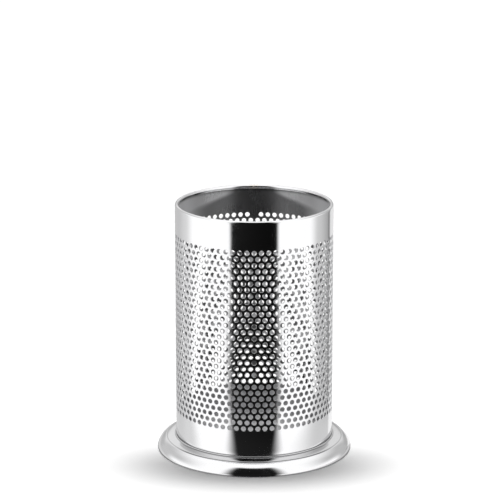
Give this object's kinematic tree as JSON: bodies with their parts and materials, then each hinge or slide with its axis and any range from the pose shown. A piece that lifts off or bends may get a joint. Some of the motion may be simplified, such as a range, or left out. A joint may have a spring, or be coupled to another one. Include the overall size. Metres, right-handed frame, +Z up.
{
  "type": "utensil crock",
  "caption": "Open-topped upright crock of perforated stainless sheet with a hemmed rim, a spun flared foot and a closed floor, for holding kitchen utensils upright",
  "frame": {"origin": "middle of the foot's standing face, on the table", "axes": "+Z up the crock's axis; -Y to the front, the side opposite the sleeve's seam; +X to the right seen from the front"},
  "size_m": [0.124, 0.124, 0.161],
  "materials": {
    "sleeve_steel": "polished",
    "foot_steel": "polished",
    "floor_steel": "satin"
  },
  "bodies": {
    "root": {"perforated_sleeve": "sleeve_steel", "base_ring": "foot_steel", "floor_plate": "floor_steel"}
  },
  "joints": []
}
